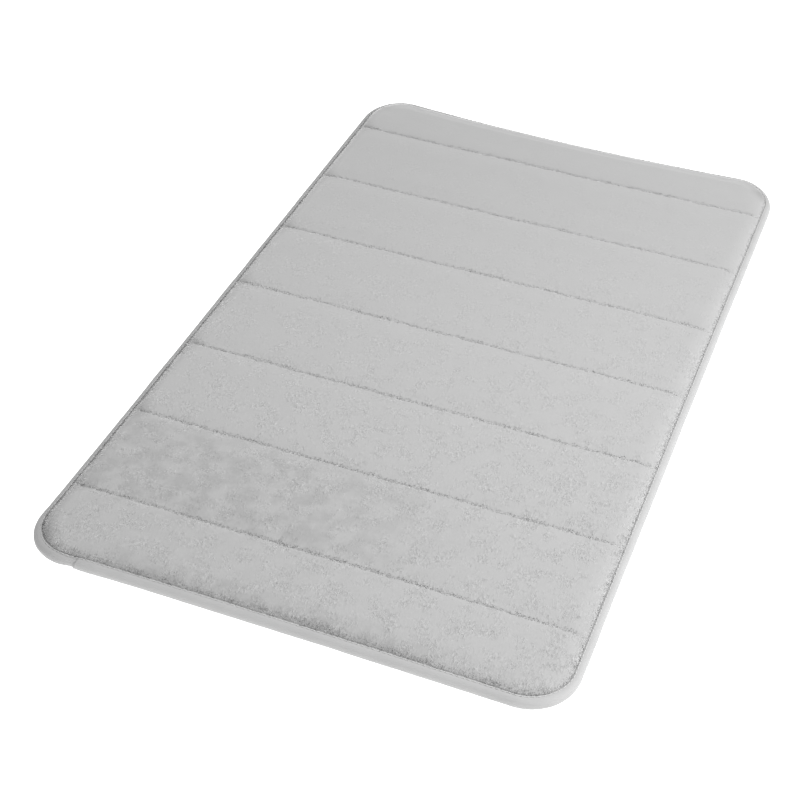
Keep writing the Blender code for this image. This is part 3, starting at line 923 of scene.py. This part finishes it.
# The thread draws both faces in along the sewing line, most at each needle hole
inset = TAPE_REACH - reach_out
drawn = np.exp(-((inset - SEW_INSET) / SEW_WIDTH) ** 2)
hole = 1 - HOLE_SHARE + HOLE_SHARE * np.cos(2 * math.pi * length_at / SEW_PITCH)
slant = LAP_SLANT * (1 + fold) / 2 * np.clip(1 - length_at / LAP_SLANT_RUN, 0, 1)
place, outward = on_outline(length_at + slant, inset)
left = np.clip(-place[..., 0] / HALF_WIDTH, 0, 1) ** LIP_SIDE_POWER
right = np.clip(place[..., 0] / HALF_WIDTH, 0, 1) ** LIP_SIDE_POWER
draw = np.where(fold > 0, TOP_DRAW, UNDER_DRAW) * np.where(np.abs(fold) > 0.4, drawn * hole, 0.0)
to_lip = np.clip((inset - SEW_INSET) / (TAPE_REACH - SEW_INSET), 0, 1)
lip = (LIP + LIP_LEFT * left + LIP_RIGHT * right) * to_lip
height = (FOLD_LOW + FOLD_HIGH) / 2 + rise - np.sign(fold) * np.maximum(draw, lip)
tape_points = np.concatenate([place, np.maximum(height, FOLD_LOW)[..., None]], axis=-1)

# Brushed polyester tricot: smooth and matt with a faint silky sheen, small cloudy differences in tone, and
# painted shade down the left side
tricot_tape, tree, shader, position = new_material("brushed_tricot_tape")
TRICOT_RIB = 0.0011
CLOUD = 0.018
tape_map = node(tree, "ShaderNodeUVMap", uv_map="along_tape").outputs["UV"]
tape_ribs = node(tree, "ShaderNodeTexWave", {
    "Vector": tape_map,
    "Scale": 1 / TRICOT_RIB / WAVE_BANDS,
    "Distortion": 1.5,
    "Detail": 1.0,
    "Detail Scale": 2.0,
})
tape_cloud = node(tree, "ShaderNodeTexNoise", {"Vector": position, "Scale": 1 / CLOUD, "Detail": 4.0})
tape_split = node(tree, "ShaderNodeSeparateXYZ", {0: position})
# Painted shade: the tape is darker down the left side, which faces away from the light
tape_left_painted_shade = node(tree, "ShaderNodeMapRange", {
    "Value": tape_split.outputs["X"],
    "From Min": -0.25,
    "From Max": -0.17,
    "To Min": 0.87,
    "To Max": 1.0,
})
tape_shade = node(tree, "ShaderNodeMix", {
    "Factor": tape_cloud.outputs["Fac"],
    "A": linear("A9A9A9"),
    "B": linear("B3B3B3"),
}, data_type="RGBA")
tape_dye_and_painted_shade = node(tree, "ShaderNodeVectorMath", {
    0: tape_shade.outputs["Result"],
    "Scale": tape_left_painted_shade,
}, operation="SCALE")
tree.links.new(tape_dye_and_painted_shade.outputs[0], shader.inputs["Base Color"])
shader.inputs["Roughness"].default_value = 0.85
shader.inputs["Specular IOR Level"].default_value = 0.2
shader.inputs["Sheen Weight"].default_value = 0.1
shader.inputs["Sheen Roughness"].default_value = 0.4
rib_bump = node(tree, "ShaderNodeBump", {
    "Height": tape_ribs.outputs["Fac"],
    "Strength": 0.2,
    "Distance": 0.0001,
})
tree.links.new(rib_bump.outputs["Normal"], shader.inputs["Normal"])

tape_faces = grid_faces(sections + 1, FOLD_POINTS)
tape = piece_from("binding_tape_cloth", relaxed(tape_points), tape_faces, tricot_tape)
tape_uv = tape.data.uv_layers.new(name="along_tape")
along_uv = np.broadcast_to(length_at, height.shape).ravel()
across_uv = np.broadcast_to(fold * TAPE_WIDTH / 2, height.shape).ravel()
corners = np.empty(len(tape.data.loops), int)
tape.data.loops.foreach_get("vertex_index", corners)
tape_uv.uv.foreach_set("vector", np.stack([along_uv[corners], across_uv[corners]], axis=1).ravel())
thick = tape.modifiers.new("thickness", "SOLIDIFY")
thick.thickness = TAPE_THICKNESS
thick.offset = -1.0
tape_mesh = bpy.data.meshes.new_from_object(tape.evaluated_get(bpy.context.evaluated_depsgraph_get()))
bpy.data.objects.remove(tape)
tape = bpy.data.objects.new("binding_tape", tape_mesh)
bpy.context.scene.collection.objects.link(tape)
settled(tape, "edge_binding", slot="binding_tape")

# Binding stitches ---------------------------------------------------------------------------
# Spun polyester thread in a lockstitch right round the tape. The needle thread shows on top as
# short raised dashes, and the bobbin thread does the same on the underside.

THREAD_RADIUS = 0.00028
STITCH_SHARE = 0.72
STITCH_RISE = 0.0003
THREAD_PROUD = 0.0002
UNDER_RISE = -0.0001

stitches_tree, given, result = node_group("lock stitches", [
    "Pitch", "Stitch Length", "Rise", "Thread Radius",
])
path = node(stitches_tree, "GeometryNodeMeshToCurve", {"Mesh": given.outputs["Geometry"]})
paced = node(stitches_tree, "GeometryNodeResampleCurve", {
    "Curve": path,
    "Length": given.outputs["Pitch"],
}, mode="LENGTH")
heading = node(stitches_tree, "GeometryNodeInputTangent")
turned = node(stitches_tree, "FunctionNodeAlignRotationToVector", {
    "Vector": heading,
}, axis="X", pivot_axis="Z")
stitch_length = given.outputs["Stitch Length"]
back_half = node(stitches_tree, "ShaderNodeMath", {0: stitch_length, 1: -0.5}, operation="MULTIPLY")
fore_half = node(stitches_tree, "ShaderNodeMath", {0: stitch_length, 1: 0.5}, operation="MULTIPLY")
crest = node(stitches_tree, "ShaderNodeMath", {0: given.outputs["Rise"], 1: 2.0}, operation="MULTIPLY")
entry = node(stitches_tree, "ShaderNodeCombineXYZ", {"X": back_half})
peak = node(stitches_tree, "ShaderNodeCombineXYZ", {"Z": crest})
leaving = node(stitches_tree, "ShaderNodeCombineXYZ", {"X": fore_half})
arch = node(stitches_tree, "GeometryNodeCurveQuadraticBezier", {
    "Resolution": 5,
    "Start": entry,
    "Middle": peak,
    "End": leaving,
})
strand = node(stitches_tree, "GeometryNodeCurvePrimitiveCircle", {
    "Resolution": 6,
    "Radius": given.outputs["Thread Radius"],
})
stitch = node(stitches_tree, "GeometryNodeCurveToMesh", {
    "Curve": arch,
    "Profile Curve": strand,
    "Fill Caps": True,
})
placed = node(stitches_tree, "GeometryNodeInstanceOnPoints", {
    "Points": paced,
    "Instance": stitch,
    "Rotation": turned,
})
real = node(stitches_tree, "GeometryNodeRealizeInstances", {"Geometry": placed})
smooth = node(stitches_tree, "GeometryNodeSetShadeSmooth", {"Geometry": real, "Shade Smooth": True})

# Spun polyester sewing thread: pale grey with a soft shine
spun_thread, tree, shader, position = new_material("spun_polyester_thread")
THREAD_TWIST = 0.0006
twist = node(tree, "ShaderNodeTexWave", {
    "Vector": position,
    "Scale": 1 / THREAD_TWIST / WAVE_BANDS,
    "Distortion": 0.4,
}, bands_direction="DIAGONAL")
thread_dye = node(tree, "ShaderNodeMix", {
    "Factor": twist.outputs["Fac"],
    "A": linear("C0C0C0"),
    "B": linear("D2D2D2"),
}, data_type="RGBA")
tree.links.new(thread_dye.outputs["Result"], shader.inputs["Base Color"])
shader.inputs["Roughness"].default_value = 0.6
shader.inputs["Sheen Weight"].default_value = 0.2
sewn = node(stitches_tree, "GeometryNodeSetMaterial", {"Geometry": smooth, "Material": spun_thread})
stitches_tree.links.new(sewn.outputs[0], result.inputs[0])


def path_from(name, points, closed=False):
    """An object whose mesh is only a line of edges through the points."""
    mesh = bpy.data.meshes.new(name)
    links = [(number, number + 1) for number in range(len(points) - 1)]
    if closed:
        links.append((len(points) - 1, 0))
    mesh.from_pydata(np.asarray(points, float).tolist(), links, [])
    made = bpy.data.objects.new(name, mesh)
    bpy.context.scene.collection.objects.link(made)
    return made


def sewn_line(name, pitch, rise, points, closed=False):
    """Stitches along a path, as a plain mesh."""
    carrier = path_from(name + "_path", points, closed)
    sizes = {"Stitch Length": pitch * STITCH_SHARE, "Thread Radius": THREAD_RADIUS}
    return grown(name, carrier, stitches_tree, Pitch=pitch, Rise=rise, **sizes)


seam_at = np.linspace(0, outline_length, 900, endpoint=False)
seam_place, _ = on_outline(seam_at, np.full(len(seam_at), SEW_INSET))
for name, node_name, z, rise in (
    ("binding_stitches_top", "binding_needle_thread", FOLD_HIGH - TOP_DRAW + THREAD_PROUD, STITCH_RISE),
    ("binding_stitches_under", "binding_bobbin_thread", FOLD_LOW + UNDER_DRAW - THREAD_PROUD, UNDER_RISE),
):
    seam_path = np.column_stack([seam_place, np.full(len(seam_place), z)])
    stitches = sewn_line(name, SEW_PITCH, rise, relaxed(seam_path), closed=True)
    settled(stitches, node_name, slot="sewing_thread")

# Quilting stitches --------------------------------------------------------------------------
# The same thread in seven cross seams. The needle threads lie at the bottom of the pile's tucks,
# and the bobbin threads lie in the slots under the foam.

QUILT_RISE = 0.0002
NEEDLE_RAISED = 0.0001
seam_x = np.linspace(-SEAM_HALF, SEAM_HALF, 160)
from_side = HALF_WIDTH - np.abs(seam_x)
side_z = np.interp(from_side, cover_side[3:, 1], cover_side[3:, 2])
sunk = HOLLOW_DEPTH + TUCK_DEPTH - NEEDLE_RAISED
needle_z = side_z - np.clip((from_side - 0.008) / 0.010, 0, 1) * sunk
bobbin_low, bobbin_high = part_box("quilt_bobbin_thread_1")
bobbin_x = seam_x * bobbin_high.x / SEAM_HALF
bobbin_z = (bobbin_low.z + bobbin_high.z) / 2
for number, seam_y in enumerate(SEAMS, 1):
    wandering = seam_y - WANDER * unevenness(seam_x, 0 * seam_x + seam_y, WANDER_LENGTH, WANDER_SEED)
    needle_path = np.column_stack([seam_x, wandering, needle_z])
    needle = sewn_line(f"quilting_stitches_top_{number}", QUILT_PITCH, QUILT_RISE, relaxed(needle_path))
    settled(needle, f"quilt_needle_thread_{number}", slot="sewing_thread")
    bobbin_path = np.column_stack([bobbin_x, 0 * bobbin_x + seam_y, 0 * bobbin_x + bobbin_z])
    bobbin = sewn_line(f"quilting_stitches_under_{number}", QUILT_PITCH, UNDER_RISE, relaxed(bobbin_path))
    settled(bobbin, f"quilt_bobbin_thread_{number}", slot="sewing_thread")

# Stage --------------------------------------------------------------------------------------
# A white studio floor in an even white light tent, with one soft light on the right.

FLOOR_SIZE = 40.0
floor_paint, _, shader, _ = new_material("white_studio_floor")
shader.inputs["Base Color"].default_value = linear("BBBBBB")
shader.inputs["Roughness"].default_value = 0.9
shader.inputs["Specular IOR Level"].default_value = 0.0
shader.inputs["Emission Color"].default_value = (1.0, 1.0, 1.0, 1.0)
shader.inputs["Emission Strength"].default_value = 1.25
floor_corners = FLOOR_SIZE / 2 * np.array([(-1, -1, 0), (1, -1, 0), (1, 1, 0), (-1, 1, 0)])
floor = piece_from("floor", floor_corners, [(0, 1, 2, 3)], floor_paint)

world = bpy.data.worlds.new("light_tent")
world.use_nodes = True
world.node_tree.nodes["Background"].inputs["Color"].default_value = (1.0, 1.0, 1.0, 1.0)
world.node_tree.nodes["Background"].inputs["Strength"].default_value = 0.70
bpy.context.scene.world = world
bpy.context.scene.view_settings.view_transform = "Standard"

LIGHT_PLACE = Vector((0.95, -0.12, 1.25))
LIGHT_AIM = Vector((0.0, 0.0, 0.0))
light_data = bpy.data.lights.new("soft_box", "AREA")
light_data.shape = "SQUARE"
light_data.size = 1.0
light_data.energy = 22.0
light = bpy.data.objects.new("soft_box", light_data)
light.location = LIGHT_PLACE
light.rotation_mode = "QUATERNION"
light.rotation_quaternion = (LIGHT_AIM - LIGHT_PLACE).to_track_quat("-Z", "Y")
bpy.context.scene.collection.objects.link(light)

CAMERA_AZIMUTH = math.radians(19.55)
CAMERA_ELEVATION = math.radians(39.41)
CAMERA_ROLL = math.radians(2.46)
CAMERA_DISTANCE = 1.708
CAMERA_AIM = Vector((-0.0197, -0.0958, 0.0))
back = Vector((
    math.sin(CAMERA_AZIMUTH) * math.cos(CAMERA_ELEVATION),
    -math.cos(CAMERA_AZIMUTH) * math.cos(CAMERA_ELEVATION),
    math.sin(CAMERA_ELEVATION),
))
level = Vector((0.0, 0.0, 1.0)).cross(back).normalized()
upright = back.cross(level)
right_axis = math.cos(CAMERA_ROLL) * level + math.sin(CAMERA_ROLL) * upright
up_axis = math.cos(CAMERA_ROLL) * upright - math.sin(CAMERA_ROLL) * level
camera_data = bpy.data.cameras.new("camera")
camera_data.lens = 76.87
camera_data.sensor_width = 36.0
camera = bpy.data.objects.new("camera", camera_data)
facing = Matrix((right_axis, up_axis, back)).transposed().to_4x4()
camera.matrix_world = Matrix.Translation(CAMERA_AIM + back * CAMERA_DISTANCE) @ facing
bpy.context.scene.collection.objects.link(camera)
bpy.context.scene.camera = camera
